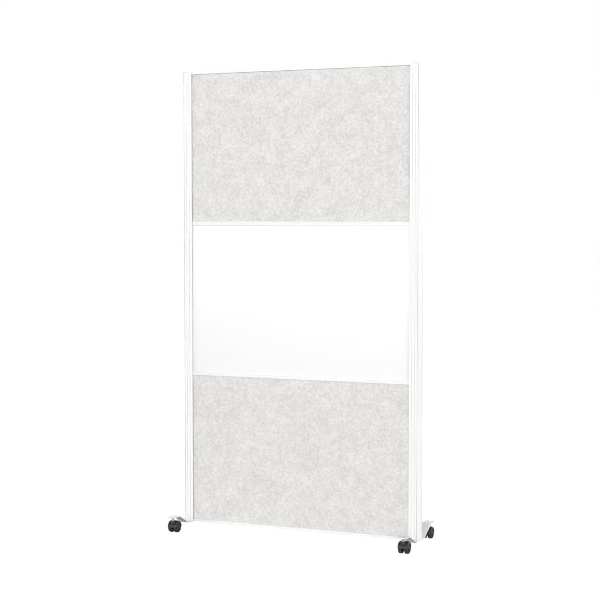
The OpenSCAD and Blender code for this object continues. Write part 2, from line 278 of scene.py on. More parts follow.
class Wall:
    """A wall drawn by carrying one straight edge along a route."""

    def __init__(self, bm, a, b):
        self.bm = bm
        self.edge = bm.edges.new((bm.verts.new(a), bm.verts.new(b)))

    def line(self, step):
        made = bmesh.ops.extrude_edge_only(self.bm, edges=[self.edge])["geom"]
        self.edge = next(g for g in made if isinstance(g, bmesh.types.BMEdge))
        bmesh.ops.translate(self.bm, vec=step, verts=list(self.edge.verts))
        return self

    def to(self, axis_values):
        """Moves in a straight line to the given coordinates, such as {"x": 0.1}."""
        at = self.edge.verts[0].co
        step = Vector((0, 0, 0))
        for axis, value in axis_values.items():
            index = "xyz".index(axis)
            step[index] = value - at[index]
        return self.line(step)

    def arc(self, centre, axis, angle, steps):
        """Carries the edge round an axis through the given centre."""
        made = bmesh.ops.spin(
            self.bm, geom=[self.edge, *self.edge.verts], cent=centre, axis=axis, angle=angle,
            steps=steps, use_merge=False, use_duplicate=False,
        )["geom_last"]
        self.edge = next(g for g in made if isinstance(g, bmesh.types.BMEdge))
        return self


def fill_ends(bm):
    """Closes the open ends of a wall that has come back to its start."""
    bmesh.ops.remove_doubles(bm, verts=bm.verts, dist=MERGE)
    bmesh.ops.holes_fill(bm, edges=open_edges(bm), sides=0)


def turned(section, steps, axis="z"):
    """Spins a half section of (radius, height) points round its axis into a closed solid."""
    bm = bmesh.new()
    verts = [bm.verts.new((r, 0, h)) for r, h in section]
    edges = [bm.edges.new(pair) for pair in zip(verts, verts[1:])]
    bmesh.ops.spin(
        bm, geom=verts + edges, cent=(0, 0, 0), axis=(0, 0, 1), angle=2 * math.pi, steps=steps,
        use_merge=True, use_duplicate=False,
    )
    bmesh.ops.remove_doubles(bm, verts=bm.verts, dist=MERGE)
    if axis == "x":
        turn_to_x(bm, bm.verts)
    close_up(bm)
    return bm


# ---------------------------------------------------------------- materials

def node_group(name, inputs, outputs):
    """An empty shader node group with float inputs, given as (name, default), and its ends."""
    tree = bpy.data.node_groups.new(name, "ShaderNodeTree")
    for label, default in inputs:
        socket = tree.interface.new_socket(label, in_out="INPUT", socket_type="NodeSocketFloat")
        socket.default_value = default
    for label in outputs:
        tree.interface.new_socket(label, in_out="OUTPUT", socket_type="NodeSocketFloat")
    return tree, tree.nodes.new("NodeGroupInput"), tree.nodes.new("NodeGroupOutput")


def add(tree, kind, **settings):
    """Adds a shader node of the given kind, with its own settings."""
    node = tree.nodes.new("ShaderNode" + kind)
    for key, value in settings.items():
        setattr(node, key, value)
    return node


def sockets(node, **values):
    """Sets input sockets by name, with _ for each space in the name."""
    for key, value in values.items():
        node.inputs[key.replace("_", " ")].default_value = value
    return node


def noise_at(tree, vector, scale, detail=2.0, roughness=0.5):
    """A noise texture on the given coordinates; scale is a number or a socket."""
    node = sockets(add(tree, "TexNoise"), Detail=detail, Roughness=roughness)
    tree.links.new(vector, node.inputs["Vector"])
    if isinstance(scale, bpy.types.NodeSocket):
        tree.links.new(scale, node.inputs["Scale"])
    else:
        node.inputs["Scale"].default_value = scale
    return node.outputs["Fac"]


def calc(tree, operation, a, b=None):
    node = add(tree, "Math", operation=operation)
    for socket, value in zip(node.inputs, (a, b)):
        if value is None:
            continue
        if isinstance(value, bpy.types.NodeSocket):
            tree.links.new(value, socket)
        else:
            socket.default_value = value
    return node.outputs[0]


def remap(tree, value, low, high, out_low, out_high):
    node = sockets(
        add(tree, "MapRange", clamp=True),
        From_Min=low, From_Max=high, To_Min=out_low, To_Max=out_high,
    )
    tree.links.new(value, node.inputs["Value"])
    return node.outputs["Result"]


def weighted_sum(tree, *parts):
    """Adds values up, each given with its share, such as (mask, 0.7)."""
    total, *others = [calc(tree, "MULTIPLY", value, share) for value, share in parts]
    for value in others:
        total = calc(tree, "ADD", total, value)
    return total


def object_coordinates(tree, stretch=(1, 1, 1), turn=(0, 0, 0)):
    coords = add(tree, "TexCoord")
    mapping = sockets(add(tree, "Mapping"), Scale=stretch, Rotation=turn)
    tree.links.new(coords.outputs["Object"], mapping.inputs["Vector"])
    return mapping.outputs["Vector"]


def make_powder_texture():
    """The fine leathery skin of powder coat: pebbles, with a slow swell under them."""
    tree, start, end = node_group("powder texture", [("Pebble Scale", 1400)], ["Height", "Tone"])
    at = object_coordinates(tree)
    pebbles = noise_at(tree, at, start.outputs["Pebble Scale"], detail=3, roughness=0.55)
    swell = noise_at(tree, at, 90, detail=1)
    tone = noise_at(tree, at, 6, detail=3, roughness=0.6)
    tree.links.new(weighted_sum(tree, (pebbles, 0.7), (swell, 0.3)), end.inputs["Height"])
    tree.links.new(tone, end.inputs["Tone"])
    return tree


def make_felt_fibres():
    """Needled felt: soft clouds, a fine mottle, and short crossing fibres that curl."""
    tree, start, end = node_group(
        "felt fibres",
        [("Cloud Scale", 24), ("Mottle Scale", 110), ("Fibre Scale", 260)],
        ["Clouds", "Mottle", "Fibres", "Height"],
    )
    at = object_coordinates(tree)
    curl = sockets(add(tree, "TexNoise"), Scale=55, Detail=2)
    tree.links.new(at, curl.inputs["Vector"])
    bend = add(tree, "VectorMath", operation="SCALE")
    bend.inputs["Scale"].default_value = 0.014
    tree.links.new(curl.outputs["Color"], bend.inputs[0])
    layers = []
    for angle in (20, 75, 140):
        turned_at = object_coordinates(tree, turn=(0, math.radians(angle), 0))
        curled = add(tree, "VectorMath", operation="ADD")
        tree.links.new(turned_at, curled.inputs[0])
        tree.links.new(bend.outputs[0], curled.inputs[1])
        thin = add(tree, "VectorMath", operation="MULTIPLY")
        thin.inputs[1].default_value = (1, 1, 8)
        tree.links.new(curled.outputs[0], thin.inputs[0])
        strand = noise_at(tree, thin.outputs[0], start.outputs["Fibre Scale"], detail=1)
        layers.append(remap(tree, strand, 0.5, 0.72, 0, 1))
    fibres = calc(tree, "MAXIMUM", calc(tree, "MAXIMUM", layers[0], layers[1]), layers[2])
    clouds = noise_at(tree, at, start.outputs["Cloud Scale"], detail=3, roughness=0.6)
    mottle = noise_at(tree, at, start.outputs["Mottle Scale"], detail=4, roughness=0.72)
    fuzz = noise_at(tree, at, 900, roughness=0.6)
    height = weighted_sum(tree, (fibres, 0.7), (fuzz, 0.3))
    tree.links.new(clouds, end.inputs["Clouds"])
    tree.links.new(mottle, end.inputs["Mottle"])
    tree.links.new(fibres, end.inputs["Fibres"])
    tree.links.new(height, end.inputs["Height"])
    return tree


def make_handling():
    """Where hands, cloths and dust have dulled a surface: broad smears and small specks."""
    tree, start, end = node_group("handling", [("Smear Scale", 7)], ["Smears", "Specks"])
    at = object_coordinates(tree, stretch=(1, 1, 2.5), turn=(0, math.radians(25), 0))
    smears = noise_at(tree, at, start.outputs["Smear Scale"], detail=5, roughness=0.6)
    specks = noise_at(tree, at, 700, detail=1)
    tree.links.new(remap(tree, smears, 0.45, 0.75, 0, 1), end.inputs["Smears"])
    tree.links.new(remap(tree, specks, 0.68, 0.8, 0, 1), end.inputs["Specks"])
    return tree


def make_brushing():
    """Fine turning and drawing lines on bare metal."""
    tree, start, end = node_group("brushing", [("Line Scale", 900)], ["Lines"])
    at = object_coordinates(tree, stretch=(1, 1, 0.08))
    lines = noise_at(tree, at, start.outputs["Line Scale"], detail=3, roughness=0.6)
    tree.links.new(lines, end.inputs["Lines"])
    return tree


GROUPS = {
    "powder": make_powder_texture(),
    "felt": make_felt_fibres(),
    "handling": make_handling(),
    "brushing": make_brushing(),
}

# The colour sockets of a Mix node, which it keeps beside those for other kinds of value
MIX_FACTOR, MIX_FIRST, MIX_SECOND, MIX_RESULT = 0, 6, 7, 2
DUST_COLOUR = (0.35, 0.34, 0.33)


def new_material(name, roughness, **shader):
    """A material with its Principled shader; the other settings go on the shader's own sockets."""
    material = bpy.data.materials.new(name)
    material.use_nodes = True
    tree = material.node_tree
    principled = tree.nodes["Principled BSDF"]
    sockets(principled, Roughness=roughness, **shader)
    return material, tree, principled


def place(tree, group, **values):
    """Puts one of the shared effects into a material."""
    node = tree.nodes.new("ShaderNodeGroup")
    node.node_tree = GROUPS[group]
    return sockets(node, **values)


def blend(tree, mask, low, high):
    """Blends two colours by a mask; low is a colour or a socket."""
    mix = add(tree, "Mix", data_type="RGBA")
    if isinstance(low, bpy.types.NodeSocket):
        tree.links.new(low, mix.inputs[MIX_FIRST])
    else:
        mix.inputs[MIX_FIRST].default_value = (*low, 1)
    mix.inputs[MIX_SECOND].default_value = (*high, 1)
    tree.links.new(mask, mix.inputs[MIX_FACTOR])
    return mix.outputs[MIX_RESULT]


def tint(tree, mask, low, high, principled):
    tree.links.new(blend(tree, mask, low, high), principled.inputs["Base Color"])


def vary_roughness(tree, value, low, high, principled):
    """Takes the roughness from low, where the value is 0, to high, where it is 1."""
    tree.links.new(remap(tree, value, 0, 1, low, high), principled.inputs["Roughness"])


def bump(tree, height, distance, strength, principled):
    node = sockets(add(tree, "Bump"), Distance=distance, Strength=strength)
    tree.links.new(height, node.inputs["Height"])
    tree.links.new(node.outputs["Normal"], principled.inputs["Normal"])


def white_powder_coat(name, low, high, pebble_scale):
    material, tree, principled = new_material(name, 0.42, Specular_IOR_Level=0.12)
    texture = place(tree, "powder", Pebble_Scale=pebble_scale)
    marks = place(tree, "handling", Smear_Scale=5)
    tint(tree, texture.outputs["Tone"], low, high, principled)
    vary_roughness(tree, marks.outputs["Smears"], 0.38, 0.47, principled)
    bump(tree, texture.outputs["Height"], 0.0002, 0.25, principled)
    return material


def grey_felt():
    material, tree, principled = new_material(
        "grey felt", 0.95, Specular_IOR_Level=0.12, Sheen_Weight=0.12, Sheen_Roughness=0.5,
    )
    felt = place(tree, "felt", Cloud_Scale=26, Mottle_Scale=120, Fibre_Scale=300)
    clouds = remap(tree, felt.outputs["Clouds"], 0.3, 0.7, 0, 1)
    mottle = remap(tree, felt.outputs["Mottle"], 0.28, 0.72, 0, 1)
    tone = weighted_sum(tree, (clouds, 0.22), (mottle, 0.6), (felt.outputs["Fibres"], 0.28))
    tint(tree, tone, (0.46, 0.451, 0.442), (0.855, 0.841, 0.826), principled)
    bump(tree, felt.outputs["Height"], 0.0008, 0.5, principled)
    return material


def writing_enamel():
    material, tree, principled = new_material(
        "writing board enamel", 0.34, Coat_Weight=0.1, Coat_Roughness=0.2, Specular_IOR_Level=0.3,
    )
    texture = place(tree, "powder", Pebble_Scale=220)
    marks = place(tree, "handling", Smear_Scale=6)
    smears = marks.outputs["Smears"]
    tint(tree, smears, (0.835, 0.833, 0.833), (0.82, 0.82, 0.821), principled)
    vary_roughness(tree, smears, 0.32, 0.4, principled)
    bump(tree, texture.outputs["Height"], 0.0002, 0.05, principled)
    return material


def moulded(name, low, high, roughness, dust):
    """Moulded plastic with a fine spark-eroded grain, and a little dust."""
    material, tree, principled = new_material(name, roughness, Specular_IOR_Level=0.35)
    texture = place(tree, "powder", Pebble_Scale=2600)
    marks = place(tree, "handling", Smear_Scale=30)
    clean = blend(tree, texture.outputs["Tone"], low, high)
    specks = calc(tree, "MULTIPLY", marks.outputs["Specks"], dust)
    tint(tree, specks, clean, DUST_COLOUR, principled)
    vary_roughness(tree, marks.outputs["Smears"], roughness - 0.06, roughness + 0.08, principled)
    bump(tree, texture.outputs["Height"], 0.00012, 0.3, principled)
    return material


def bare_metal(name, low, high, roughness, line_scale):
    material, tree, principled = new_material(name, roughness, Metallic=1.0)
    lines = place(tree, "brushing", Line_Scale=line_scale).outputs["Lines"]
    tint(tree, lines, low, high, principled)
    rough = remap(tree, lines, 0.3, 0.7, roughness - 0.08, roughness + 0.1)
    tree.links.new(rough, principled.inputs["Roughness"])
    bump(tree, lines, 0.0001, 0.2, principled)
    return material


def pressed_fibre():
    material, tree, principled = new_material("pressed fibre core", 0.9)
    felt = place(tree, "felt", Cloud_Scale=40, Mottle_Scale=90, Fibre_Scale=160)
    tint(tree, felt.outputs["Fibres"], (0.44, 0.37, 0.27), (0.62, 0.55, 0.44), principled)
    bump(tree, felt.outputs["Height"], 0.001, 0.6, principled)
    return material


MATERIALS = {
    "white_profile": white_powder_coat(
        "white profile", (0.8, 0.8, 0.795), (0.825, 0.825, 0.82), pebble_scale=1500
    ),
    "white_steel": white_powder_coat(
        "white foot plate", (0.79, 0.79, 0.785), (0.815, 0.815, 0.81), pebble_scale=1100
    ),
    "white_plastic": moulded(
        "white moulding", (0.76, 0.76, 0.75), (0.785, 0.785, 0.775), roughness=0.45, dust=0.0
    ),
    "white_enamel": writing_enamel(),
    "grey_felt": grey_felt(),
    "panel_core": pressed_fibre(),
    "mill_aluminium": bare_metal(
        "mill aluminium", (0.6, 0.6, 0.61), (0.75, 0.75, 0.76), roughness=0.38, line_scale=500
    ),
    "zinc_steel": bare_metal(
        "zinc plate", (0.5, 0.5, 0.51), (0.68, 0.68, 0.69), roughness=0.32, line_scale=900
    ),
    "black_nylon": moulded(
        "black hood nylon", (0.018, 0.018, 0.018), (0.028, 0.028, 0.028), roughness=0.42, dust=0.4
    ),
    "black_wheel": moulded(
        "black wheel nylon", (0.02, 0.02, 0.02), (0.034, 0.034, 0.034), roughness=0.5, dust=0.6
    ),
}

SLOTS = {row["node"]: row["material_slot"] for row in frame["record"]["subparts"]}
for node, obj in frame["nodes"].items():
    for material_slot in obj.material_slots:
        material_slot.material = MATERIALS[SLOTS[node]]


def finish_piece(obj, body, *replaced):
    """Gives a piece the finish of the nodes that it stands for, and the body that it rides on."""
    slot = SLOTS[replaced[0]]
    obj.data.materials.clear()
    obj.data.materials.append(MATERIALS[slot])
    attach(obj, body)
    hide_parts(*replaced)
    return obj


# ---------------------------------------------------------------- posts

def bulge(width, half_depth):
    """Centre and radius of the arc through both front corners of a post and its crown."""
    flat = POST_FACE_W
    centre = (width ** 2 - flat ** 2 - half_depth ** 2) / (2 * (width - flat))
    return centre, width - centre


def post_profile(width, half_depth, half_channel, z0, z1):
    """A right-hand post in its own place, with its inner edge at x = 0."""
    centre, radius = bulge(width, half_depth)
    grooves = [(x, GROOVE_W, GROOVE_D) for x in GROOVE_CENTRES]
    grooves.append((CORNER_GROOVE_X, CORNER_GROOVE_W, CORNER_GROOVE_D))
    bm = bmesh.new()
    wall = Wall(bm, (0, -half_depth, z0), (0, -half_depth, z1))
    for middle, across, depth in grooves:
        wall.to({"x": middle - across / 2}).line((0, depth, 0))
        wall.line((across, 0, 0)).line((0, -depth, 0))
    wall.to({"x": POST_FACE_W})
    wall.arc((centre, 0, 0), (0, 0, 1), 2 * math.asin(half_depth / radius), ROUND_STEPS)
    for middle, across, depth in reversed(grooves):
        wall.to({"x": middle + across / 2}).line((0, -depth, 0))
        wall.line((-across, 0, 0)).line((0, depth, 0))
    wall.to({"x": 0}).to({"y": half_channel}).to({"x": CHANNEL_D})
    wall.to({"y": -half_channel}).to({"x": 0}).to({"y": -half_depth})
    fill_ends(bm)
    close_up(bm)
    along = [e for e in sharp_edges(bm) if abs((e.verts[0].co - e.verts[1].co).z) > (z1 - z0) / 2]
    bevel(bm, along, POST_EDGE_R, 2)
    return bm


def hole_heights():
    """Heights of the bolt holes, a set distance from each end of each element."""
    rails = [corners(f"{level}_lower_rail")[0].z for level in ELEMENTS]
    tops = [corners(f"{level}_upper_rail")[1].z for level in ELEMENTS]
    return [z + BOLT_INSET for z in rails] + [z - BOLT_INSET for z in tops]


def place_on_side(bm, side):
    """Moves a shape made with the post's inner edge at x = 0 to its side of the wall."""
    bmesh.ops.translate(bm, vec=(INNER_EDGE, 0, 0), verts=bm.verts)
    if side == "left":
        mirror_x(bm)
    return bm


def is_rim(edge, heights, width):
    """Whether an edge lies on the mouth of an access hole."""
    for vert in edge.verts:
        distance = min(math.hypot(vert.co.y, vert.co.z - z) for z in heights)
        if abs(distance - ACCESS_R) > RIM_ERROR or vert.co.x < width - ACCESS_DEPTH / 2:
            return False
    return face_angle(edge) > math.radians(30)


def build_post(side):
    lo, hi = corners(f"post_{side}")
    width, half_depth = hi.x - lo.x, hi.y
    half_channel = corners("bottom_lower_rail")[1].y + PANEL_GAP
    bm = post_profile(width, half_depth, half_channel, lo.z, hi.z)
    heights = hole_heights()
    for z in heights:
        for offset in (-HOLE_MARGIN, HOLE_MARGIN):
            everything = list(bm.verts) + list(bm.edges) + list(bm.faces)
            bmesh.ops.bisect_plane(
                bm, geom=everything, plane_co=(0, 0, z + offset), plane_no=(0, 0, 1)
            )
    drill = cylinder(ACCESS_R, width - ACCESS_DEPTH, width + ACCESS_DEPTH)
    turn_to_x(drill, drill.verts)
    bm = combine(bm, copies_at(drill, [(0, 0, z) for z in heights]), "DIFFERENCE")
    bevel(bm, [e for e in bm.edges if is_rim(e, heights, width)], RIM_EDGE_R, 2)
    obj = to_object(f"{side}_post_profile", place_on_side(bm, side))
    finish_piece(obj, "wall", f"post_{side}")


def build_post_cap(side):
    lo, hi = corners(f"post_cap_{side}")
    width, half_depth = hi.x - lo.x, hi.y
    base = corners(f"post_{side}")[1].z
    centre, radius = bulge(width, half_depth)
    bm = bmesh.new()
    wall = Wall(bm, (0, -half_depth, base), (0, -half_depth, hi.z))
    wall.to({"x": POST_FACE_W})
    wall.arc((centre, 0, 0), (0, 0, 1), 2 * math.asin(half_depth / radius), ROUND_STEPS)
    wall.to({"x": 0}).to({"y": -half_depth})
    fill_ends(bm)
    close_up(bm)
    bevel(bm, sharp_edges(bm), CAP_EDGE_R, 3)
    obj = to_object(f"{side}_post_top_cap", place_on_side(bm, side))
    finish_piece(obj, "wall", f"post_cap_{side}")


def build_hole_covers(side):
    """Domed push-in covers, each with a deep ring round its button."""
    lo, hi = corners(f"hole_covers_{side}")
    back, front = sorted((abs(lo.x), abs(hi.x)))
    ring_r, ring_floor = COVER_R - 0.5 * MM, front - BUTTON_RING_D
    section = [
        (0, back), (COVER_R, back), (COVER_R, front - 1.6 * MM), (ring_r, front - 1.3 * MM),
        (ring_r, ring_floor), (BUTTON_R, ring_floor), (BUTTON_R, front - 0.9 * MM),
        (BUTTON_R - 0.3 * MM, front - 0.35 * MM), (BUTTON_R - 1 * MM, front - 0.05 * MM),
        (BUTTON_R - 1.8 * MM, front), (3 * MM, front - 0.5 * MM), (0, front - 0.6 * MM),
    ]
    bm = turned(section, ROUND_STEPS, "x")
    copies_at(bm, [(0, 0, z) for z in hole_heights()])
    if side == "left":
        mirror_x(bm)
    finish_piece(to_object(f"{side}_bolt_hole_covers", bm), "wall", f"hole_covers_{side}")


# ---------------------------------------------------------------- panels

def felt_board(name, node, front):
    """A felt board with a soft lively face towards front, which is -1 or 1 along Y."""
    lo, hi = corners(node)
    lo -= SNUG
    hi += SNUG
    face_y, back_y = (lo.y, hi.y) if front < 0 else (hi.y, lo.y)
    size = hi - lo
    bm = bmesh.new()
    bmesh.ops.create_grid(
        bm, x_segments=round(size.x / FELT_GRID), y_segments=round(size.z / FELT_GRID), size=0.5
    )
    bmesh.ops.rotate(bm, verts=bm.verts, matrix=Matrix.Rotation(math.pi / 2, 3, "X"))
    bmesh.ops.scale(bm, vec=(size.x, 1, size.z), verts=bm.verts)
    middle = (lo + hi) / 2
    bmesh.ops.translate(bm, vec=(middle.x, face_y, middle.z), verts=bm.verts)
    made = bmesh.ops.extrude_edge_only(bm, edges=open_edges(bm))["geom"]
    bmesh.ops.translate(bm, vec=(0, back_y - face_y, 0), verts=verts_of(made))
    bmesh.ops.holes_fill(bm, edges=open_edges(bm), sides=0)
    close_up(bm)

    def on_face(vert):
        return abs(vert.co.y - face_y) < NEAR

    shoulder = [e for e in sharp_edges(bm, 60) if all(on_face(v) for v in e.verts)]
    bevel(bm, shoulder, FELT_EDGE_R)
    for vert in bm.verts:
        if on_face(vert):
            swell = noise.noise(vert.co * SWELL_SCALE) + 0.5 * noise.noise(vert.co * RIPPLE_SCALE)
            vert.co.y -= front * FELT_RELIEF * (0.75 + 0.5 * swell)
    finish_piece(to_object(name, bm, 60), "wall", node)


def build_panels():
    for level in ELEMENTS:
        for rail in ("upper", "lower"):
            node = f"{level}_{rail}_rail"
            finish_piece(bevelled_box(f"{level}_{rail}_bar", node, RAIL_EDGE_R), "wall", node)
        for face, front in (("front", -1), ("rear", 1)):
            if level == "middle":
                node = f"middle_{face}_board"
                sheet = bevelled_box(f"{face}_writing_sheet", node, SHEET_EDGE_R, 2, SNUG)
                finish_piece(sheet, "wall", node)
            else:
                felt_board(f"{level}_{face}_felt_board", f"{level}_{face}_felt", front)


# ---------------------------------------------------------------- feet

def build_foot(side):
    """A bent plate, drawn along its upper side from front to rear and back along its underside."""
    lo, hi = corners(f"foot_{side}")
    x0, x1 = sorted((abs(lo.x), abs(hi.x)))
    rise = hi.z - PLATE_T - lo.z
    angle = math.atan2(rise, SLOPE_L)
    outer_r = BEND_R + PLATE_T
    tangent = (BEND_R + PLATE_T / 2) * math.tan(angle / 2)
    low_y, low_z = FLAT_HALF_L - tangent, lo.z + outer_r
    high_y, high_z = FLAT_HALF_L + SLOPE_L + tangent, hi.z - outer_r

    def on_bend(y, z, radius, turn):
        return {"y": y + radius * math.cos(turn), "z": z + radius * math.sin(turn)}

    down, up = -math.pi / 2, math.pi / 2
    bm = bmesh.new()
    wall = Wall(bm, (x0, -low_y, lo.z + PLATE_T), (x1, -low_y, lo.z + PLATE_T))

    def bend(y, z, turn):
        wall.arc((0, y, z), (1, 0, 0), turn, 6)

    wall.to({"y": low_y})
    bend(low_y, low_z, angle)
    wall.to(on_bend(high_y, high_z, outer_r, up + angle))
    bend(high_y, high_z, -angle)
    wall.to({"y": hi.y}).to({"z": hi.z - PLATE_T}).to({"y": high_y})
    bend(high_y, high_z, angle)
    wall.to(on_bend(low_y, low_z, outer_r, down + angle))
    bend(low_y, low_z, -angle)
    wall.to({"y": -low_y})
    bend(-low_y, low_z, -angle)
    wall.to(on_bend(-high_y, high_z, BEND_R, up - angle))
    bend(-high_y, high_z, angle)
    wall.to({"y": lo.y}).to({"z": hi.z}).to({"y": -high_y})
    bend(-high_y, high_z, -angle)
    wall.to(on_bend(-low_y, low_z, BEND_R, down - angle))
    bend(-low_y, low_z, angle)
    fill_ends(bm)
    close_up(bm)
    upright = [
        e for e in sharp_edges(bm)
        if abs((e.verts[0].co - e.verts[1].co).z) > PLATE_T / 2
        and all(abs(abs(v.co.y) - hi.y) < NEAR for v in e.verts)
    ]
    bevel(bm, upright, FLANGE_CORNER_R, 10)
    bevel(bm, sharp_edges(bm, 40), PLATE_EDGE_R)
    stem_x = (x0 + x1) / 2
    drill = cylinder(STUD_HOLE_R, hi.z - 2 * PLATE_T, hi.z + PLATE_T, 32)
    bm = combine(bm, copies_at(drill, [(stem_x, s * STEM_Y, 0) for s in (-1, 1)]), "DIFFERENCE")
    if side == "left":
        mirror_x(bm)
    finish_piece(to_object(f"{side}_foot_plate", bm), "wall", f"foot_{side}")


def build_foot_screws(side):
    """Domed heads with a hexagon socket, seen from below."""
    lo, hi = corners(f"foot_screws_{side}")
    plate = corners(f"foot_{side}")[0].z
    radius = SCREW_HEAD_R
    section = [
        (0, lo.z), (radius * 0.55, lo.z + 0.1 * MM), (radius * 0.85, lo.z + 0.9 * MM),
        (radius, lo.z + 2.2 * MM), (radius, plate), (SCREW_R, plate), (SCREW_R, hi.z), (0, hi.z),
    ]
    bm = turned(section, 32)
    socket = cylinder(SCREW_SOCKET_R, lo.z - OVERSHOOT, lo.z + SCREW_SOCKET_D, HEXAGON)
    bm = combine(bm, socket, "DIFFERENCE")
    x = (abs(lo.x) + abs(hi.x)) / 2 * SIDES[side]
    copies_at(bm, [(x, lo.y + radius, 0), (x, hi.y - radius, 0)])
    finish_piece(to_object(f"{side}_foot_plate_screws", bm), "wall", f"foot_screws_{side}")


# ---------------------------------------------------------------- castors

def stem_places():
    lo, hi = corners("foot_right")
    x = (lo.x + hi.x) / 2
    return [(sx * x, sy * STEM_Y, 0) for sx, sy in CASTORS.values()]


def build_stems():
    """Studs with a rolled thread above a collar, which swivels on the neck below."""
    lo, hi = corners("castor_stems")
    neck_top = corners("front_left_castor_housing")[1].z
    collar = neck_top + COLLAR_GAP
    collar_top = collar + COLLAR_H
    section = [
        (0, lo.z), (PIN_R, lo.z), (PIN_R, collar), (COLLAR_R - COLLAR_EDGE, collar),
        (COLLAR_R, collar + COLLAR_EDGE), (COLLAR_R, collar_top - COLLAR_EDGE),
        (COLLAR_R - COLLAR_EDGE, collar_top), (STUD_R, collar_top),
    ]
    z = collar + THREAD_START
    while z < hi.z - THREAD_END:
        section += [(STUD_R, z), (STUD_R, z + 0.2 * MM), (STUD_R - THREAD_D, z + THREAD_D)]
        z += THREAD_PITCH
    section += [(STUD_R, z), (STUD_R - 0.7 * MM, hi.z), (0, hi.z)]
    bm = copies_at(turned(section, 32), stem_places())
    finish_piece(to_object("castor_studs", bm), "wall", "castor_stems")


def build_lock_nuts():
    """Hexagon nuts with turned corners."""
    lo, hi = corners("stem_lock_nuts")
    bm = cylinder(NUT_R, lo.z, hi.z, HEXAGON)
    widest = NUT_R + 0.1 * MM
    section = [
        (0, lo.z - OVERSHOOT), (NUT_R - 2 * NUT_CHAMFER, lo.z - OVERSHOOT),
        (NUT_R - NUT_CHAMFER, lo.z), (widest, lo.z + NUT_CHAMFER), (widest, hi.z - NUT_CHAMFER),
        (NUT_R - NUT_CHAMFER, hi.z), (0, hi.z),
    ]
    bm = combine(bm, turned(section, ROUND_STEPS), "INTERSECT")
    bore = cylinder(NUT_BORE_R, lo.z - OVERSHOOT, hi.z + OVERSHOOT, 32)
    bm = combine(bm, bore, "DIFFERENCE")
    copies_at(bm, stem_places())
    finish_piece(to_object("stud_lock_nuts", bm), "wall", "stem_lock_nuts")


def hood_shell(half_w, outer_r, inner_r):
    """The curved cover over both wheels, with its shoulders turned down at the ends."""
    shoulder = half_w - HOOD_SHOULDER
    section = [
        (outer_r, 0), (outer_r, shoulder), (outer_r - 0.35 * MM, half_w - 3.4 * MM),
        (outer_r - 1.2 * MM, half_w - 1.6 * MM), (outer_r - 2.6 * MM, half_w - 0.4 * MM),
        (outer_r - 4 * MM, half_w), (inner_r - 2.2 * MM, half_w - 0.6 * MM),
        (inner_r - 0.9 * MM, half_w - 2.4 * MM), (inner_r - 0.2 * MM, half_w - 4.2 * MM),
        (inner_r, shoulder),
    ]
    loop = section + [(r, -x) for r, x in reversed(section)][:-1]
    start = math.asin(HOOD_LOW / outer_r)
    bm = bmesh.new()
    verts = [bm.verts.new((x, r, 0)) for r, x in loop]
    edges = [bm.edges.new((verts[i - 1], verts[i])) for i in range(len(verts))]
    bmesh.ops.rotate(bm, verts=verts, cent=(0, 0, 0), matrix=Matrix.Rotation(start, 3, "X"))
    bmesh.ops.spin(
        bm, geom=verts + edges, cent=(0, 0, 0), axis=(1, 0, 0), angle=math.pi - 2 * start,
        steps=ROUND_STEPS, use_merge=False, use_duplicate=False,
    )
    fill_ends(bm)
    close_up(bm)
    return bm


def wheel_web(half_t, upper_r, lower_r):
    """The plate between the wheels: a half disc over a smaller one."""
    bm = bmesh.new()
    above = math.pi - 2 * math.asin(HOOD_LOW / upper_r)
    below = math.pi + 2 * math.asin(HOOD_LOW / lower_r)
    upper_reach = math.sqrt(upper_r ** 2 - HOOD_LOW ** 2)
    lower_reach = math.sqrt(lower_r ** 2 - HOOD_LOW ** 2)
    wall = Wall(bm, (-half_t, upper_reach, HOOD_LOW), (half_t, upper_reach, HOOD_LOW))
    wall.arc((0, 0, 0), (1, 0, 0), above, 40)
    wall.to({"y": -lower_reach})
    wall.arc((0, 0, 0), (1, 0, 0), below, 32)
    wall.to({"y": upper_reach})
    fill_ends(bm)
    close_up(bm)
    bevel(bm, sharp_edges(bm), WEB_EDGE_R, 2)
    return bm


def hood_neck(height, trail, inner_r):
    """The neck that swivels on the stud, widened at its root and cut clear of the wheels."""
    section = [
        (0, NECK_ROOT_Z), (NECK_ROOT_R, NECK_ROOT_Z), (NECK_ROOT_R, 20.2 * MM),
        (NECK_R + 0.5 * MM, 22 * MM), (NECK_R, 23.4 * MM), (NECK_R, height - 0.7 * MM),
        (NECK_R - 0.6 * MM, height), (0, height),
    ]
    bm = turned(section, 40)
    bmesh.ops.translate(bm, vec=(0, -trail, 0), verts=bm.verts)
    room = cylinder(inner_r + WHEEL_ROOM, -40 * MM, 40 * MM, 96)
    turn_to_x(room, room.verts)
    return combine(bm, room, "DIFFERENCE")


def build_housing(corner, end):
    """A castor's hood and neck, made for a front corner; end is -1 in front and 1 at the rear."""
    node = f"{corner}_castor_housing"
    lo, hi = corners(node)
    axle_lo, axle_hi = corners(f"{corner}_castor_axle")
    axle_y = abs(axle_lo.y + axle_hi.y) / 2
    axle_z = (axle_lo.z + axle_hi.z) / 2
    outer_r = (hi.y - lo.y) / 2
    inner_r = outer_r - HOOD_T
    bm = hood_shell((hi.x - lo.x) / 2, outer_r, inner_r)
    bm = combine(bm, wheel_web(WEB_HALF_T, outer_r - HOOD_T / 2, WEB_LOW_R), "UNION")
    bm = combine(bm, hood_neck(hi.z - axle_z, STEM_Y - axle_y, inner_r), "UNION")
    bmesh.ops.translate(bm, vec=(0, -axle_y, axle_z), verts=bm.verts)
    if end > 0:
        bmesh.ops.scale(bm, vec=(1, -1, 1), verts=bm.verts)
    bmesh.ops.translate(bm, vec=((lo.x + hi.x) / 2, 0, 0), verts=bm.verts)
    finish_piece(to_object(f"{corner}_castor_hood", bm), f"{corner}_swivel", node)


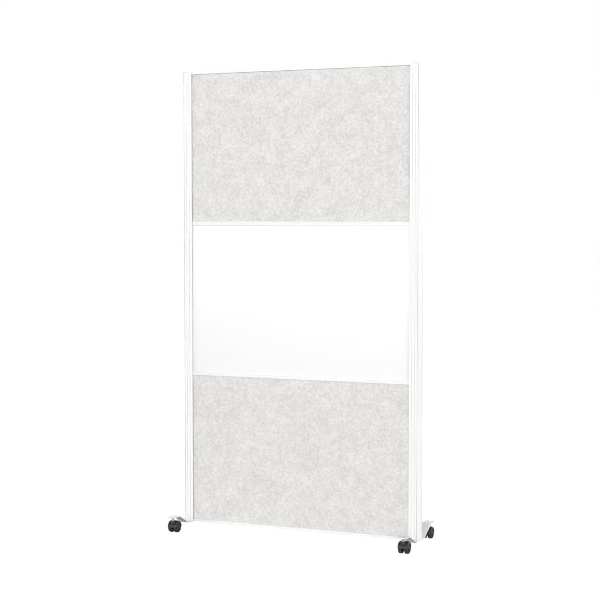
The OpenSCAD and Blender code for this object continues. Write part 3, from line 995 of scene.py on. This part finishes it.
def wheel_shape(radius, width):
    """A castor wheel with a crowned tread, a dished face with pockets, and a hub boss."""
    hub, dish = radius / 3, width - DISH_D
    section = [
        (0, 0.3 * MM), (hub, 0.3 * MM), (hub, 0), (radius - 4.5 * MM, 0),
        (radius - 1.2 * MM, 0.5 * MM), (radius - 0.2 * MM, 1.6 * MM), (radius, 3 * MM),
        (radius, width - 5.5 * MM), (radius - 0.35 * MM, width - 3.4 * MM),
        (radius - 1.2 * MM, width - 1.7 * MM), (radius - 2.6 * MM, width - 0.5 * MM),
        (radius - 4.2 * MM, width), (radius - 5.4 * MM, width),
        (radius - 6 * MM, width - 0.5 * MM), (radius - 6.4 * MM, dish), (hub + 1.4 * MM, dish),
        (hub + 0.8 * MM, width - 1 * MM), (hub + 0.2 * MM, width - 0.7 * MM),
        (hub - 1.2 * MM, width - 0.5 * MM), (0, width - 0.5 * MM),
    ]
    bm = turned(section, 64)
    pocket_in, pocket_out = hub + 2.2 * MM, radius - 7.2 * MM
    pocket_floor, above = width - POCKET_D, width + OVERSHOOT
    cutter = turned(
        [
            (pocket_in, pocket_floor), (pocket_out, pocket_floor), (pocket_out, above),
            (pocket_in, above), (pocket_in, pocket_floor),
        ], 60,
    )
    spoke_l = pocket_out + 2 * MM
    for i in range(SPOKES):
        spoke = bmesh.new()
        bmesh.ops.create_cube(spoke, size=1)
        bmesh.ops.scale(spoke, vec=(spoke_l, SPOKE_T, SPOKE_H), verts=spoke.verts)
        bmesh.ops.translate(
            spoke, vec=(pocket_out / 2 + 1 * MM, 0, width - 1 * MM), verts=spoke.verts
        )
        turn = Matrix.Rotation(2 * math.pi * i / SPOKES, 3, "Z")
        bmesh.ops.rotate(spoke, verts=spoke.verts, cent=(0, 0, 0), matrix=turn)
        cutter = combine(cutter, spoke, "DIFFERENCE")
    bm = combine(bm, cutter, "DIFFERENCE")
    turn_to_x(bm, bm.verts)
    close_up(bm)
    return bm


def build_wheels(corner):
    """Both wheels of a castor, each turned so that its dished face looks outwards."""
    for side, s in SIDES.items():
        node = f"{corner}_castor_{side}_wheel"
        lo, hi = corners(node)
        bm = bmesh.new()
        bm.from_mesh(WHEEL_MESH)
        if s < 0:
            mirror_x(bm)
        inner = hi.x if s < 0 else lo.x
        bmesh.ops.translate(
            bm, vec=(inner, (lo.y + hi.y) / 2, lo.z + WHEEL_R), verts=bm.verts
        )
        obj = to_object(f"{corner}_{side}_castor_wheel", bm)
        finish_piece(obj, f"{corner}_{side}_wheel", node)


for side in SIDES:
    build_post(side)
    build_post_cap(side)
    build_hole_covers(side)
    build_foot(side)
    build_foot_screws(side)
build_panels()
build_stems()
build_lock_nuts()

wheel_lo, wheel_hi = corners("front_left_castor_left_wheel")
WHEEL_R = (wheel_hi.y - wheel_lo.y) / 2
WHEEL_MESH = bpy.data.meshes.new("castor wheel")
wheel_bm = wheel_shape(WHEEL_R, wheel_hi.x - wheel_lo.x)
wheel_bm.to_mesh(WHEEL_MESH)
wheel_bm.free()
for corner, (_, end) in CASTORS.items():
    build_housing(corner, end)
    build_wheels(corner)


# ---------------------------------------------------------------- floor, light and camera

def shown_to_camera(tree, seen, unseen, output):
    """Shows one shader to the camera, and lets another light everything else."""
    mix = add(tree, "MixShader")
    path = add(tree, "LightPath")
    tree.links.new(path.outputs["Is Camera Ray"], mix.inputs[0])
    tree.links.new(unseen.outputs[0], mix.inputs[1])
    tree.links.new(seen.outputs[0], mix.inputs[2])
    tree.links.new(mix.outputs[0], tree.nodes[output].inputs["Surface"])


def build_floor():
    """A pale studio floor: light grey to the object above it, and almost white to the camera."""
    bm = bmesh.new()
    bmesh.ops.create_grid(bm, x_segments=1, y_segments=1, size=FLOOR_HALF)
    obj = to_object("studio_floor", bm)
    material = bpy.data.materials.new("studio floor")
    material.use_nodes = True
    tree = material.node_tree
    principled = tree.nodes["Principled BSDF"]
    sockets(principled, Roughness=0.9, Specular_IOR_Level=0.1)
    principled.inputs["Base Color"].default_value = FLOOR_GREY
    matt = add(tree, "BsdfDiffuse")
    matt.inputs["Color"].default_value = FLOOR_SEEN_GREY
    glow = add(tree, "Emission")
    glow.inputs["Strength"].default_value = FLOOR_GLOW
    both = add(tree, "AddShader")
    tree.links.new(matt.outputs[0], both.inputs[0])
    tree.links.new(glow.outputs[0], both.inputs[1])
    shown_to_camera(tree, both, principled, "Material Output")
    obj.data.materials.append(material)


def build_world():
    """White to the camera; its light comes in low from every side, and least from behind."""
    world = bpy.data.worlds.new("studio")
    world.use_nodes = True
    tree = world.node_tree
    seen = tree.nodes["Background"]
    seen.inputs["Color"].default_value = (1, 1, 1, 1)
    around = add(tree, "Background")
    direction = add(tree, "SeparateXYZ")
    tree.links.new(add(tree, "TexCoord").outputs["Generated"], direction.inputs[0])
    low, high = (math.sin(math.radians(angle)) for angle in (HORIZON_ANGLE, ZENITH_ANGLE))
    by_height = remap(tree, direction.outputs["Z"], low, high, HORIZON_LIGHT, ZENITH_LIGHT)
    by_depth = remap(tree, direction.outputs["Y"], 0, 1, 1, REAR_LIGHT)
    strength = calc(tree, "MULTIPLY", by_height, by_depth)
    tree.links.new(strength, around.inputs["Strength"])
    shown_to_camera(tree, seen, around, "World Output")
    scene.world = world


def soft_box(name, azimuth, elevation, distance, size, watts):
    """A large square light that points at the middle of the wall; azimuth 0 is in front."""
    light = bpy.data.lights.new(name, "AREA")
    light.shape = "SQUARE"
    light.size = size
    light.energy = watts
    obj = bpy.data.objects.new(name, light)
    a, e = math.radians(azimuth), math.radians(elevation)
    away = Vector((math.sin(a) * math.cos(e), -math.cos(a) * math.cos(e), math.sin(e)))
    obj.location = MIDDLE + away * distance
    obj.rotation_euler = away.to_track_quat("Z", "Y").to_euler()
    scene.collection.objects.link(obj)


def build_camera():
    data = bpy.data.cameras.new("camera")
    data.lens = LENS_MM
    data.sensor_width = SENSOR_MM
    obj = bpy.data.objects.new("camera", data)
    obj.location = CAMERA_AT
    obj.rotation_euler = (CAMERA_AT - CAMERA_AIM).to_track_quat("Z", "Y").to_euler()
    scene.collection.objects.link(obj)
    scene.camera = obj


build_floor()
build_world()
soft_box("front key", azimuth=30, elevation=30, distance=25, size=7, watts=1600)
build_camera()
scene.view_settings.view_transform = "Standard"
scene.view_settings.look = "None"
scene.cycles.filter_width = 1
